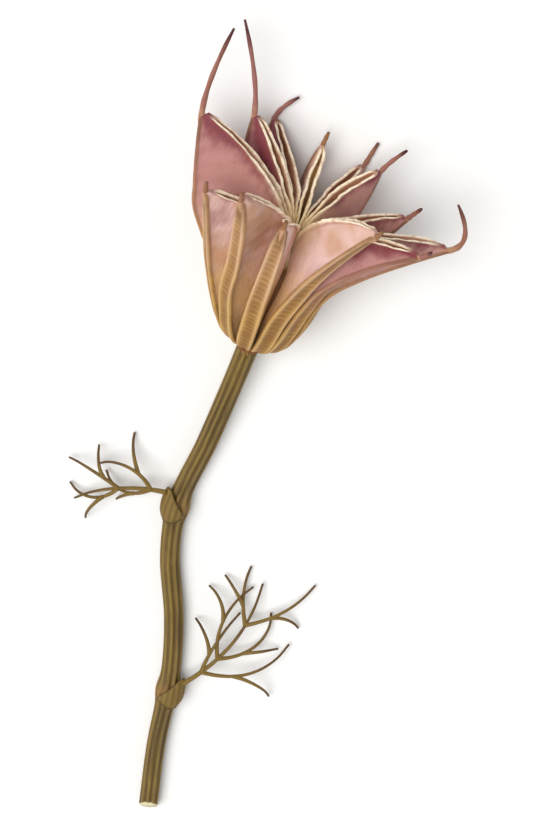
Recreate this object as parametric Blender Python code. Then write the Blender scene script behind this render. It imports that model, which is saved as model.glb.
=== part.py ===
"""Dried seed pod of an oriental nigella on its cut stem, lying on a flat surface.

The pod is a ring of flat follicles, grown together round a core in their lower part and spread
above. Each follicle is a folded pouch: a ribbed keel outside, two thin walls, and open wavy lips
on its inner edge, with a long beak at its outer corner. The pod leans to the right and points
slightly up, so it rests on two low keels and on the stem. +Z is up, +Y runs from the cut end
to the pod, and the origin is under the middle of the whole piece.
"""
import math
import random

import bmesh
import bpy
import numpy as np
from mathutils import Matrix, Vector

MM = 0.001

# The pod's stance: its lean to the right on the surface, and its rise above it.
POD_LEAN = math.radians(20)
POD_PITCH = math.radians(16)
FLAT_CUT = 0.45 * MM

# Each follicle: azimuth of its tip (degrees round the pod, 0 to the right and 90 facing up),
# reach and height of the tip, flare (how late it spreads), crown (how far its top edge arches
# up), then its awn: length, outward and sideways lean. Lengths are in millimetres. The roots are
# spaced round from ROOT_AZIMUTH, not quite evenly, and each follicle turns to its tip's azimuth
# as it rises.
FOLLICLES = (
    (193, 21.8, 34.4, 0.55, 1.8, 17.0, -0.12, -0.05),
    (219, 16.4, 34.5, 0.9, 1.2, 16.5, 0.75, -0.15),
    (240, 18.0, 32.4, 0.8, 1.8, 6.5, -0.35, 0.80),
    (270, 13.0, 32.2, 0.9, 1.0, 3.0, 0.20, 0.10),
    (298, 17.2, 30.0, 1.0, 2.0, 5.0, 0.20, 0.10),
    (318, 13.8, 33.0, 1.2, 1.5, 6.4, 1.30, 0.10),
    (347, 17.2, 29.6, 1.3, 1.6, 4.0, 0.20, 0.60),
    (2, 24.6, 29.4, 1.5, 1.6, 13.0, -0.85, 0.25),
    (22, 20.8, 30.2, 1.9, 1.5, 2.5, 0.60, 0.00),
    (47, 16.0, 33.2, 2.0, 2.0, 2.0, 0.40, 0.00),
    (106, 12.5, 29.3, 1.3, 1.8, 2.0, 0.40, 0.00),
    (131, 17.6, 32.2, 1.3, 1.5, 2.0, 0.30, 0.00),
    (160, 18.0, 27.6, 0.9, 1.5, 2.0, 0.20, 0.00),
)
ROOT_AZIMUTH = 188.0
ROOT_UNEVENNESS = 1.5
TURN_START = 8.0
TURN_END = 30.0

# The pod bulges more on one side: by this share at its widest, towards this azimuth.
BELLY = 0.42
BELLY_AZIMUTH = 170.0

# Outline of a follicle at full size in its own plane: distance from the pod's axis and height.
# The inner edge climbs the axis, then swings out as a sail-shaped top edge.
KEEL_LOW = ((1.7, 0.12), (4.8, 0.85), (6.8, 3.3), (8.1, 7.8), (8.9, 13.0))
KEEL_RISE = (18.0, 21.8, 25.0, 27.8, 29.8, 31.2, 32.0)
INNER_EDGE = (
    (0.5, 0.7), (0.5, 3.0), (0.5, 6.5), (0.5, 10.5), (0.5, 15.0), (0.7, 19.6),
    (2.0, 23.2), (4.8, 25.5), (8.6, 27.5), (12.6, 29.4), (16.4, 31.3), (19.0, 32.6),
)
OUTLINE_HEIGHT = 32.0
OUTLINE_REACH = 20.0

# Half thickness along the follicle: at the keel, the wall and the lip.
KEEL_HALF = (0.50, 1.10, 1.48, 1.60, 1.60, 1.56, 1.48, 1.40, 1.28, 1.05, 0.78, 0.48)
WALL_HALF = (0.45, 0.90, 1.10, 1.10, 1.10, 1.05, 1.02, 1.00, 0.96, 0.88, 0.70, 0.44)
LIP_HALF = (0.40, 0.60, 0.70, 0.70, 0.70, 0.76, 0.98, 1.10, 1.08, 0.98, 0.78, 0.46)
SECTIONS = 15

# Stations across a section, as shares of the way from the inner edge to the keel: where the
# flared lip has narrowed, the middle of the wall, and where the wall meets the keel.
LIP_STATION = 0.12
LIP_NARROWING = 0.84
WALL_STATION = 0.50
KEEL_STATION = 0.84
KEEL_FILLET = 0.05
TROUGH_DEPTH = 0.55
LEAST_SPAN = 2.0

# The lips sway to the side by LIP_WAVE, from where the pouch opens on.
LIP_WAVE = 0.22
WAVE_TURNS = 17.0
WAVE_ONSET = 6.0
PHASE_STEP = 7

# The hollow between the walls: the part of the follicle that it takes, how far it stands out
# past the lips, how deep it goes, and how much it closes at its ends.
POUCH_START = 0.45
POUCH_END = 0.94
POUCH_OUT = -0.14
POUCH_DEEP = 0.80
POUCH_FLARE = 1.25
POUCH_NARROWING = 0.8
POUCH_PINCH = 0.35
WALL_THICKNESS = 0.62
LEAST_GAP = 0.12

# The solid core that the follicles are grown to: radius and height.
CORE = ((1.9, 0.0), (3.2, 1.1), (4.4, 5.0), (5.2, 11.5), (4.2, 16.4))
CORE_TOP = 20.3
CORE_TIP = 0.4
CORE_SIDES = 15

# The awn's radius at three places, how deep it starts inside the follicle, where the keel's
# heading is taken, and how its length is split between that heading and its own lean.
AWN_START = 0.35
AWN_ROOT = 0.46
AWN_TIP = 0.32
AWN_SINK = 2.0
AWN_STEPS = 7
HEADING_PLACE = 0.97
AWN_ALONG = 0.34
AWN_BENT = 0.68

# The receptacle and the stem's place under it.
GAP = 0.3
RECEPTACLE_THICKNESS = 1.2
RECEPTACLE_PROFILE = ((1.75, 0.0), (2.3, 0.25), (2.55, 0.65), (2.45, 1.05), (1.9, 1.2))
LOBE = 0.05

# The stem's route seen from above, from the pod's foot to the cut end.
STEM_ROUTE = (
    (0.0, 0.0), (-3.4, -9.3), (-7.3, -18.8), (-12.2, -29.6), (-13.9, -40.0),
    (-13.4, -52.0), (-14.2, -64.0), (-16.9, -77.0), (-18.6, -90.0),
)
STEM_RADIUS = 1.75
STEM_TAPER = 0.15
STEM_RIBS = 9
RIB_HEIGHT = 0.075
STEM_REST = 1.62
LANDING = 33.0
JOINTS = (33.5, 69.5)
JOINT_SWELL = 0.50
JOINT_LENGTH = 2.2
CUT_SLANT = -1.3
STEM_SECTIONS = 22
JOINT_SECTIONS = (-3.4, -1.7, 0.0, 1.7, 3.4)

# Each thread leaf: its name, joint, the foot's facing round the stem and the stalk's heading seen
# from above (degrees), length, pairs of side threads, the stalk's curl (degrees) and a seed.
LEAVES = (
    ("leaf_upper", JOINTS[0], 30, 165, 17, 2, 50, 5),
    ("leaf_lower", JOINTS[1], 145, 35, 24, 3, 40, 11),
)

# The leaves' threads: radii, and the clear room that threads keep to the stem.
STALK_ROOT = 0.5
THREAD_ROOT = 0.42
THREAD_TIP = 0.33
THREAD_STEPS = 6
THREAD_CLEAR = 1.2
THREAD_ARCH = 0.94
THREAD_CURL = 1.3
SHEATH_OVERLAP = 1.5
SHEATH_LIFT = 0.5
SHEATH_NARROWING = 0.72
STALK_AHEAD = 0.8
SHEATH_LENGTH = 4.6
SHEATH_THICKNESS = 0.7
SHEATH_HALF_ANGLE = math.radians(105)
SHEATH_LOW_ANGLE = math.radians(12)


def clear_scene():
    """Remove the objects that a new file starts with."""
    for item in list(bpy.data.objects):
        bpy.data.objects.remove(item, do_unlink=True)


def make_material(name, colour, roughness):
    """A plain finish of one colour."""
    material = bpy.data.materials.new(name)
    material.use_nodes = True
    shader = material.node_tree.nodes["Principled BSDF"]
    shader.inputs["Base Color"].default_value = (*colour, 1.0)
    shader.inputs["Roughness"].default_value = roughness
    shader.inputs["Metallic"].default_value = 0.0
    return material


def spline(points, places):
    """Points on a smooth curve through the given ones, at places from 0 to 1 along it."""
    points = np.asarray(points, dtype=float)
    if points.ndim == 1:
        points = points[:, None]
    last = len(points) - 1
    padded = np.vstack([2 * points[0] - points[1], points, 2 * points[-1] - points[-2]])
    along = np.clip(np.asarray(places, dtype=float), 0, 1) * last
    first = np.minimum(along.astype(int), last - 1)
    t = (along - first)[:, None]
    a, b, c, d = (padded[first + k] for k in range(4))
    return 0.5 * (2 * b + (c - a) * t + (2 * a - 5 * b + 4 * c - d) * t ** 2
                  + (3 * b - a - 3 * c + d) * t ** 3)


def loft(name, rings, material=None):
    """One closed body through rings of equal count, capped at both ends."""
    mesh = bpy.data.meshes.new(name)
    body = bmesh.new()
    loops = [[body.verts.new(Vector(p) * MM) for p in ring] for ring in rings]
    count = len(loops[0])
    for low, high in zip(loops, loops[1:]):
        for k in range(count):
            n = (k + 1) % count
            body.faces.new((low[k], low[n], high[n]))
            body.faces.new((low[k], high[n], high[k]))
    body.faces.new(loops[0][::-1])
    body.faces.new(loops[-1])
    bmesh.ops.recalc_face_normals(body, faces=body.faces[:])
    bmesh.ops.triangulate(body, faces=body.faces[:])
    body.to_mesh(mesh)
    body.free()
    if material:
        mesh.materials.append(material)
    piece = bpy.data.objects.new(name, mesh)
    bpy.context.scene.collection.objects.link(piece)
    return piece


def apply_boolean(piece, operation, other=None, group=None, solver="EXACT"):
    """Join or cut a piece with one object or with a collection, and keep the result."""
    step = piece.modifiers.new(operation.lower(), "BOOLEAN")
    step.operation = operation
    step.solver = solver
    if group:
        step.operand_type = "COLLECTION"
        step.collection = group
    else:
        step.object = other
    graph = bpy.context.evaluated_depsgraph_get()
    result = bpy.data.meshes.new_from_object(piece.evaluated_get(graph))
    piece.modifiers.clear()
    piece.data = result
    used = list(group.objects) if group else [other]
    for item in used:
        bpy.data.objects.remove(item, do_unlink=True)
    if group:
        bpy.data.collections.remove(group)


def gather(name, pieces):
    """Move pieces into a collection of their own, for a union."""
    group = bpy.data.collections.new(name)
    bpy.context.scene.collection.children.link(group)
    for item in pieces:
        bpy.context.scene.collection.objects.unlink(item)
        group.objects.link(item)
    return group


def tidy_mesh(piece, sharp_angle=40):
    """Split faces into triangles, drop loose scraps and shade round forms smooth."""
    body = bmesh.new()
    body.from_mesh(piece.data)
    bmesh.ops.triangulate(body, faces=body.faces[:])
    keep_largest(body)
    body.to_mesh(piece.data)
    body.free()
    piece.data.shade_smooth()
    piece.data.set_sharp_from_angle(angle=math.radians(sharp_angle))


def keep_largest(body):
    """Remove every loose body but the one with the most points."""
    left = set(body.verts)
    islands = []
    while left:
        front = [left.pop()]
        island = set(front)
        while front:
            for edge in front.pop().link_edges:
                for vert in edge.verts:
                    if vert in left:
                        left.discard(vert)
                        island.add(vert)
                        front.append(vert)
        islands.append(island)
    islands.sort(key=len)
    for island in islands[:-1]:
        bmesh.ops.delete(body, geom=list(island), context="VERTS")


class Follicle:
    """One follicle of the pod, as curves in its own plane and a place round the axis."""

    def __init__(self, number, azimuth, reach, height, flare, crown, awn, awn_out, awn_side):
        uneven = ROOT_UNEVENNESS * math.sin(number ** 2)
        self.root_turn = math.radians(ROOT_AZIMUTH + 360 * number / len(FOLLICLES) + uneven)
        swing = (math.radians(azimuth) - self.root_turn + math.pi) % (2 * math.pi) - math.pi
        self.swing = swing
        self.reach = reach
        self.height = height
        self.flare = flare
        self.crown = crown
        self.awn = awn
        self.awn_out = awn_out
        self.awn_side = awn_side
        facing = 0.5 + 0.5 * math.cos(math.radians(azimuth - BELLY_AZIMUTH))
        self.belly = BELLY * facing ** 2
        self.phase = math.radians(azimuth * PHASE_STEP)

    def keel(self, places):
        """The outer edge: the low bulge, then out to this follicle's own tip."""
        low = np.array(KEEL_LOW)
        low[:, 0] *= 1 + self.belly * low[:, 1] / low[-1, 1]
        start_reach, start_height = low[-1]
        rise = np.array(KEEL_RISE) * self.height / OUTLINE_HEIGHT
        share = (rise - start_height) / (self.height - start_height)
        out = start_reach + (self.reach - start_reach) * share ** self.flare
        return spline(np.vstack([low, np.column_stack([out, rise])]), places)

    def inner(self, places):
        """The inner edge: up the axis, then along the top edge, which is stretched to the tip."""
        out, rise = np.array(INNER_EDGE).T
        high = rise > CORE_TOP
        across = out / OUTLINE_REACH
        arch = self.crown * 4 * across * (1 - across)
        stretch = (self.height - CORE_TOP) / (OUTLINE_HEIGHT - CORE_TOP)
        rise = np.where(high, CORE_TOP + (rise + arch - CORE_TOP) * stretch, rise)
        out = np.where(high, out * self.reach / OUTLINE_REACH, out)
        return spline(np.column_stack([out, rise]), places)

    def place(self, out, rise, side):
        """Turn a point of the follicle's plane into one of the pod."""
        turned = min(1.0, max(0.0, (rise - TURN_START) / (TURN_END - TURN_START)))
        turn = self.root_turn + self.swing * turned ** 2 * (3 - 2 * turned)
        along = Vector((math.cos(turn), -math.sin(turn), 0))
        across = Vector((-math.sin(turn), -math.cos(turn), 0))
        return along * out + across * side + Vector((0, 0, rise))

    def section(self, place, stations, trough=False):
        """A closed loop across the follicle: stations from inner edge to keel and back."""
        keel = Vector(self.keel([place])[0])
        inner = Vector(self.inner([place])[0])
        left = [(inner.lerp(keel, share), half) for share, half in stations]
        free = min(1, max(0, (place - POUCH_START) * WAVE_ONSET))
        wave = LIP_WAVE * math.sin(self.phase + WAVE_TURNS * place) * free
        ring = [self.place(p.x, p.y, half + (wave if k < 1 else 0))
                for k, (p, half) in enumerate(left)]
        if trough:
            span = max((keel - inner).length, LEAST_SPAN)
            point = inner.lerp(keel, 1 - TROUGH_DEPTH / span)
            ring.append(self.place(point.x, point.y, 0))
        ring += [self.place(p.x, p.y, -half + (wave if k < 1 else 0))
                 for k, (p, half) in reversed(list(enumerate(left)))]
        return ring

    def widths(self, place):
        """Half thickness of keel, wall and lip at a place along the follicle."""
        return [float(spline(row, [place])[0, 0]) for row in (KEEL_HALF, WALL_HALF, LIP_HALF)]

    def body(self):
        """The follicle as a solid blade with a flared inner edge and a hollow-backed keel."""
        rings = []
        for place in np.linspace(0, 1, SECTIONS):
            keel, wall, lip = self.widths(place)
            stations = ((0.0, lip), (LIP_STATION, lip * LIP_NARROWING), (WALL_STATION, wall),
                        (KEEL_STATION, wall + KEEL_FILLET), (1.0, keel))
            rings.append(self.section(place, stations, trough=True))
        return loft("follicle", rings)

    def pouch(self):
        """The hollow between the walls, open all along the lips."""
        rings = []
        places = [p for p in np.linspace(0, 1, SECTIONS) if POUCH_START <= p <= POUCH_END]
        for place in places:
            pinch = POUCH_PINCH if place in (places[0], places[-1]) else 1.0
            keel, wall, lip = self.widths(place)
            gap = max(LEAST_GAP, lip - WALL_THICKNESS) * pinch
            inside = max(LEAST_GAP, wall - WALL_THICKNESS) * pinch
            stations = ((POUCH_OUT, gap * POUCH_FLARE), (LIP_STATION, gap * POUCH_NARROWING),
                        (WALL_STATION, inside), (POUCH_DEEP, inside))
            rings.append(self.section(place, stations))
        return loft("pouch", rings)

    def awn_piece(self):
        """The beak: a slim spine that leaves the tip along the keel and bends to its lean."""
        tip, before = self.keel([1.0, HEADING_PLACE])
        heading = Vector(tip - before).normalized()
        root = self.place(*tip, 0)
        start = self.place(*(Vector(tip) - heading * AWN_SINK), 0)
        run = (root - start).normalized()
        level = self.place(self.awn_out, tip[1], self.awn_side) - self.place(0, tip[1], 0)
        goal = (level + Vector((0, 0, 1))).normalized()
        bend = root + run * self.awn * AWN_ALONG
        end = bend + goal * self.awn * AWN_BENT
        path = [start] + [bezier(root, bend, end, q) for q in np.linspace(0, 1, AWN_STEPS)]
        radii = [AWN_START] + list(np.linspace(AWN_ROOT, AWN_TIP, AWN_STEPS))
        return loft("awn", tube_rings(path, radii, 4))


def bezier(a, b, c, q):
    """A point on the curve from a to c that is drawn towards b."""
    return a * (1 - q) ** 2 + b * 2 * q * (1 - q) + c * q ** 2


def tube_rings(path, radii, sides):
    """Rings of a tube carried along a path without twist."""
    rings = []
    normal = None
    for k, point in enumerate(path):
        ahead = path[min(k + 1, len(path) - 1)] - path[max(k - 1, 0)]
        ahead = ahead.normalized()
        if normal is None:
            normal = ahead.orthogonal().normalized()
        normal = (normal - ahead * normal.dot(ahead)).normalized()
        across = ahead.cross(normal)
        turns = [2 * math.pi * (n + 0.5) / sides for n in range(sides)]
        rings.append([point + (normal * math.cos(t) + across * math.sin(t)) * radii[k]
                      for t in turns])
    return rings


def core_piece():
    """The solid middle of the pod, turned round its axis."""
    turns = [2 * math.pi * n / CORE_SIDES for n in range(CORE_SIDES)]
    profile = CORE + ((CORE_TIP, CORE_TOP),)
    return loft("core", [[(r * math.cos(t), r * math.sin(t), h) for t in turns]
                         for r, h in profile])


def pod_frame():
    """The pod's turn in space: its +Z becomes the leaning axis, and its +Y faces down."""
    lean, pitch = POD_LEAN, POD_PITCH
    axis = Vector((math.sin(lean) * math.cos(pitch), math.cos(lean) * math.cos(pitch), math.sin(pitch)))
    right = Vector((math.cos(lean), -math.sin(lean), 0))
    down = axis.cross(right)
    return Matrix((right, down, axis)).transposed().to_4x4()


def make_pod(material):
    """All follicles and awns joined round the core, turned to rest and cut flat below."""
    members = []
    for number, row in enumerate(FOLLICLES):
        follicle = Follicle(number, *row)
        blade = follicle.body()
        apply_boolean(blade, "DIFFERENCE", follicle.pouch())
        members += [blade, follicle.awn_piece()]
    pod = core_piece()
    pod.name = "pod"
    apply_boolean(pod, "UNION", group=gather("follicles", members), solver="MANIFOLD")
    pod.data.transform(pod_frame())
    lowest = min(v.co.z for v in pod.data.vertices)
    lift = -lowest - FLAT_CUT
    pod.data.transform(Matrix.Translation((0, 0, lift)))
    apply_boolean(pod, "DIFFERENCE", make_slab(), solver="MANIFOLD")
    tidy_mesh(pod)
    pod.data.materials.clear()
    pod.data.materials.append(material)
    return pod, lift / MM


def make_slab():
    """A block under the surface, which trims what would sink into it."""
    bpy.ops.mesh.primitive_cube_add(size=0.2, location=(0, 0, -0.1))
    slab = bpy.context.object
    slab.display_type = "WIRE"
    slab.hide_render = True
    return slab


def make_receptacle(material, lift):
    """The lobed scar disc between the stem's top and the pod's foot."""
    rings = []
    lobes = len(FOLLICLES)
    sides = lobes * 2
    for radius, height in RECEPTACLE_PROFILE:
        ring = []
        for n in range(sides):
            turn = 2 * math.pi * n / sides
            reach = radius * (1 + LOBE * math.cos(lobes * turn))
            rise = height - GAP - RECEPTACLE_THICKNESS
            ring.append((reach * math.cos(turn), reach * math.sin(turn), rise))
        rings.append(ring)
    piece = loft("receptacle", rings, material)
    piece.data.transform(Matrix.Translation((0, 0, lift * MM)) @ pod_frame())
    piece.data.shade_smooth()
    piece.data.set_sharp_from_angle(angle=math.radians(40))
    return piece


class Stem:
    """The stem's route, radius and cross-section along its length."""

    def __init__(self, lift):
        frame = pod_frame()
        axis = frame.col[2].to_3d()
        top = -GAP * 2 - RECEPTACLE_THICKNESS
        self.start = Vector((0, 0, lift)) + axis * top
        flat = spline(STEM_ROUTE, np.linspace(0, 1, 200))
        flat += np.array([self.start.x, self.start.y])
        steps = np.hypot(*np.diff(flat, axis=0).T)
        along = np.concatenate([[0], np.cumsum(steps)])
        drop = self.start.z - STEM_REST
        height = STEM_REST + drop * np.clip(1 - along / LANDING, 0, 1) ** 2
        self.path = np.column_stack([flat, height])
        steps = np.linalg.norm(np.diff(self.path, axis=0), axis=1)
        self.along = np.concatenate([[0], np.cumsum(steps)])
        self.length = float(self.along[-1])

    def point(self, distance):
        """The middle of the stem at a distance from its top."""
        return Vector([float(np.interp(distance, self.along, self.path[:, k])) for k in range(3)])

    def frame(self, distance):
        """The stem's heading there, with a level side direction and an upward one."""
        ahead = (self.point(min(distance + 1, self.length)) - self.point(max(distance - 1, 0)))
        ahead = ahead.normalized()
        side = ahead.cross(Vector((0, 0, 1))).normalized()
        return ahead, side, side.cross(ahead)

    def push_clear(self, point, room):
        """Move a point straight away from the stem until it has this much room to it."""
        gaps = np.linalg.norm(self.path - np.array(point), axis=1)
        nearest = int(np.argmin(gaps))
        reach = self.radius(float(self.along[nearest])) * (1 + RIB_HEIGHT) + room
        if gaps[nearest] >= reach:
            return point
        middle = Vector(self.path[nearest])
        return middle + (point - middle).normalized() * reach

    def radius(self, distance):
        """A slight taper, thickened at the joints."""
        swell = sum(math.exp(-((distance - joint) / JOINT_LENGTH) ** 2) for joint in JOINTS)
        return STEM_RADIUS - STEM_TAPER * distance / self.length + JOINT_SWELL * swell

    def ring(self, distance, cut=0.0):
        """A ribbed cross-section; the flat underside keeps it on the surface."""
        ahead, side, up = self.frame(distance)
        middle = self.point(distance)
        sides = STEM_RIBS * 2
        ring = []
        for n in range(sides):
            turn = 2 * math.pi * n / sides
            ridge = 1 + RIB_HEIGHT * math.cos(STEM_RIBS * turn)
            reach = self.radius(distance) * ridge
            point = middle + (side * math.cos(turn) + up * math.sin(turn)) * reach
            point += ahead * cut * math.sin(turn)
            point.z = max(point.z, 0.0)
            ring.append(point)
        return ring


def make_stem(material, stem):
    """The ribbed stem, with closer rings round its joints and a slanted cut end."""
    places = list(np.linspace(0, stem.length, STEM_SECTIONS))
    places += [joint + away for joint in JOINTS for away in JOINT_SECTIONS]
    places.sort()
    rings = [stem.ring(p) for p in places[:-1]] + [stem.ring(places[-1], cut=CUT_SLANT)]
    piece = loft("stem", rings, material)
    piece.data.shade_smooth()
    piece.data.set_sharp_from_angle(angle=math.radians(50))
    return piece


def sheath_piece(stem, distance, facing):
    """The leaf's foot: a curved plate that clasps the stem and narrows to the leaf stalk."""
    rings = []
    for share in np.linspace(0, 1, 5):
        place = distance - SHEATH_LENGTH * share
        ahead, side, up = stem.frame(place)
        middle = stem.point(place)
        spread = SHEATH_HALF_ANGLE * (1 - SHEATH_NARROWING * share ** 1.5)
        inner = stem.radius(place) * (1 + RIB_HEIGHT) + GAP + SHEATH_LIFT * share ** 2
        first = max(facing - spread, -SHEATH_LOW_ANGLE)
        last = min(facing + spread, math.pi + SHEATH_LOW_ANGLE)
        angles = np.linspace(first, last, 7)
        ring = [(a, inner) for a in angles] + [(a, inner + SHEATH_THICKNESS) for a in angles[::-1]]
        points = []
        for angle, reach in ring:
            points.append(middle + (side * math.cos(angle) + up * math.sin(angle)) * reach)
        rings.append(points)
    return loft("sheath", rings)


def thread(stem, start, heading, length, turn, rise, root=THREAD_ROOT):
    """A curled thread: its level heading turns steadily, and it rises and sinks in one arch."""
    path = [start.copy()]
    point = start.copy()
    for k in range(THREAD_STEPS):
        share = (k + 0.5) / THREAD_STEPS
        angle = heading + turn * share ** THREAD_CURL
        point = point + Vector((math.cos(angle), math.sin(angle), 0)) * (length / THREAD_STEPS)
        done = (k + 1) / THREAD_STEPS
        ground = root + (start.z - root) * (1 - done) ** 2
        point.z = ground + rise * math.sin(math.pi * THREAD_ARCH * done)
        point = stem.push_clear(point, THREAD_CLEAR)
        path.append(point.copy())
    radii = np.linspace(root, THREAD_TIP, len(path))
    return path, radii


def leaf_threads(stem, start, heading, length, pairs, rng, curl):
    """A stalk with paired side threads, each forked once."""
    stalk, radii = thread(stem, start, heading, length, curl, rng.uniform(1.5, 3.0), STALK_ROOT)
    found = [(stalk, radii)]
    for n in range(pairs):
        at = stalk[min(1 + n * (THREAD_STEPS - 1) // pairs, THREAD_STEPS - 1)]
        for side in (-1, 1):
            aim = heading + curl * (n / pairs) + side * math.radians(rng.uniform(35, 60))
            size = length * rng.uniform(0.45, 0.75) * (1 - 0.25 * n / pairs)
            turn = -side * math.radians(rng.uniform(30, 110))
            branch, thin = thread(stem, at, aim, size, turn, rng.uniform(0.5, 4.0))
            found.append((branch, thin))
            fork = branch[2 + rng.randrange(2)]
            aim += turn * 0.4 + side * math.radians(rng.uniform(20, 45))
            found.append(thread(stem, fork, aim, size * rng.uniform(0.4, 0.6),
                                side * math.radians(rng.uniform(20, 90)), rng.uniform(0.5, 3.0)))
    return found


def make_leaf(material, stem, name, joint, facing, heading, length, pairs, curl, seed):
    """A dried thread leaf: clasping foot, stalk and forked threads, joined in one body."""
    rng = random.Random(seed)
    facing, heading, curl = (math.radians(a) for a in (facing, heading, curl))
    sheath = sheath_piece(stem, joint + SHEATH_OVERLAP, facing)
    tip = joint + SHEATH_OVERLAP - SHEATH_LENGTH
    ahead, side, up = stem.frame(tip)
    reach = stem.radius(tip) * (1 + RIB_HEIGHT) + GAP + SHEATH_LIFT + SHEATH_THICKNESS / 2
    start = stem.point(tip) + (side * math.cos(facing) + up * math.sin(facing)) * reach
    start += ahead * STALK_AHEAD
    members = [loft("thread", tube_rings(path, radii, 4))
               for path, radii in leaf_threads(stem, start, heading, length, pairs, rng, curl)]
    sheath.name = name
    apply_boolean(sheath, "UNION", group=gather(name + "_threads", members), solver="MANIFOLD")
    tidy_mesh(sheath, 60)
    sheath.data.materials.clear()
    sheath.data.materials.append(material)
    return sheath


def centre_on_origin(pieces):
    """Carry every piece on one empty, so that the origin is under the middle of them all."""
    points = [p.matrix_world @ v.co for p in pieces for v in p.data.vertices]
    low = [min(p[k] for p in points) for k in range(3)]
    high = [max(p[k] for p in points) for k in range(3)]
    carrier = bpy.data.objects.new("middle", None)
    bpy.context.scene.collection.objects.link(carrier)
    for piece in pieces:
        piece.parent = carrier
    carrier.location = (-(low[0] + high[0]) / 2, -(low[1] + high[1]) / 2, -low[2])


def main():
    """Build every piece and centre the whole."""
    clear_scene()
    pod_finish = make_material("pod_husk", (0.55, 0.42, 0.27), 0.62)
    scar_finish = make_material("rust_scar", (0.33, 0.14, 0.06), 0.7)
    stem_finish = make_material("straw_stem", (0.42, 0.36, 0.17), 0.6)
    leaf_finish = make_material("dry_leaf", (0.36, 0.30, 0.14), 0.7)
    pod, lift = make_pod(pod_finish)
    stem = Stem(lift)
    pieces = [pod, make_receptacle(scar_finish, lift), make_stem(stem_finish, stem)]
    pieces += [make_leaf(leaf_finish, stem, *row) for row in LEAVES]
    centre_on_origin(pieces)


main()
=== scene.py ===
import math
import random

import bpy
import numpy as np
from bpy.props import FloatProperty, FloatVectorProperty, PointerProperty
from mathutils import Matrix, Vector


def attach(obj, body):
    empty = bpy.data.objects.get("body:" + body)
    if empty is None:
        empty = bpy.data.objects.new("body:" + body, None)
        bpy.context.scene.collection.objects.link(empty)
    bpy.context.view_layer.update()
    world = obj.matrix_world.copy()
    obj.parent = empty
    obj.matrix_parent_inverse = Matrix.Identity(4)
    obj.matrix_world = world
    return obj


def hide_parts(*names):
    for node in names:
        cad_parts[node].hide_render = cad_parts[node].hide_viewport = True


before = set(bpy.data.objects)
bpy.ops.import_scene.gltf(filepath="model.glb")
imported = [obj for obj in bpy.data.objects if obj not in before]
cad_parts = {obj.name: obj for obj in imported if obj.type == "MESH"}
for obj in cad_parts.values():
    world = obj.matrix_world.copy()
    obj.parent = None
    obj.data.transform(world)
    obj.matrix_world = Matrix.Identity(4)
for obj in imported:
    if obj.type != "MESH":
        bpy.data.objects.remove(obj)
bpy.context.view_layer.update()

bl_info = {
    "name": "Nigella seed pod",
    "version": (1, 0, 0),
    "blender": (4, 5, 0),
    "location": "View3D > Sidebar > Nigella",
    "description": "A dried seed pod on its cut stem, lying on a pale floor",
    "category": "Add Mesh",
}

MM = 0.001

# The pod's stance, and the gap that its solid keeps to the receptacle.
POD_LEAN = math.radians(20)
POD_PITCH = math.radians(16)
GAP = 0.3

# The scar disc: heights of its rings from the pod's foot, its radius at each, and the necks, as
# radius and height, that join it to the stem below and to the pod above.
DISC_LOW = -GAP - 1.2
DISC_HEIGHTS = (DISC_LOW, DISC_LOW + 0.25, DISC_LOW + 0.65, -GAP - 0.15, -GAP)
DISC_RADII = (1.85, 2.3, 2.55, 2.45, 1.95)
STEM_TOP = DISC_LOW - GAP
LOW_NECK = ((0.9, STEM_TOP - 0.6), (1.58, STEM_TOP - 0.5), (1.66, STEM_TOP))
HIGH_NECK = ((1.8, 0.0), (1.7, 0.3), (0.9, 0.4))

# Each follicle: azimuth of its tip, reach and height of the tip, flare, crown, then its awn:
# length, outward and sideways lean, and last how deep a wine red its walls are.
FOLLICLES = (
    (193, 21.8, 34.4, 0.55, 1.8, 17.0, -0.12, -0.05, 0.80),
    (219, 16.4, 34.5, 0.9, 1.2, 16.5, 0.75, -0.15, 0.95),
    (240, 18.0, 32.4, 0.8, 1.8, 6.5, -0.35, 0.80, 1.00),
    (270, 13.0, 32.2, 0.9, 1.0, 3.0, 0.20, 0.10, 0.05),
    (298, 17.2, 30.0, 1.0, 2.0, 5.0, 0.20, 0.10, 0.55),
    (318, 13.8, 33.0, 1.2, 1.5, 6.4, 1.30, 0.10, 0.75),
    (347, 17.2, 29.6, 1.3, 1.6, 4.0, 0.20, 0.60, 0.75),
    (2, 24.6, 29.4, 1.5, 1.6, 13.0, -0.85, 0.25, 0.60),
    (22, 20.8, 30.2, 1.9, 1.5, 2.5, 0.60, 0.00, 0.90),
    (47, 16.0, 33.2, 2.0, 2.0, 2.0, 0.40, 0.00, 0.25),
    (106, 12.5, 29.3, 1.3, 1.8, 2.0, 0.40, 0.00, 0.10),
    (131, 17.6, 32.2, 1.3, 1.5, 2.0, 0.30, 0.00, 0.40),
    (160, 18.0, 27.6, 0.9, 1.5, 2.0, 0.20, 0.00, 0.36),
)
ROOT_AZIMUTH = 188.0
ROOT_UNEVENNESS = 1.5
TURN_START = 8.0
TURN_END = 30.0
BELLY = 0.42
BELLY_AZIMUTH = 170.0

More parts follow.
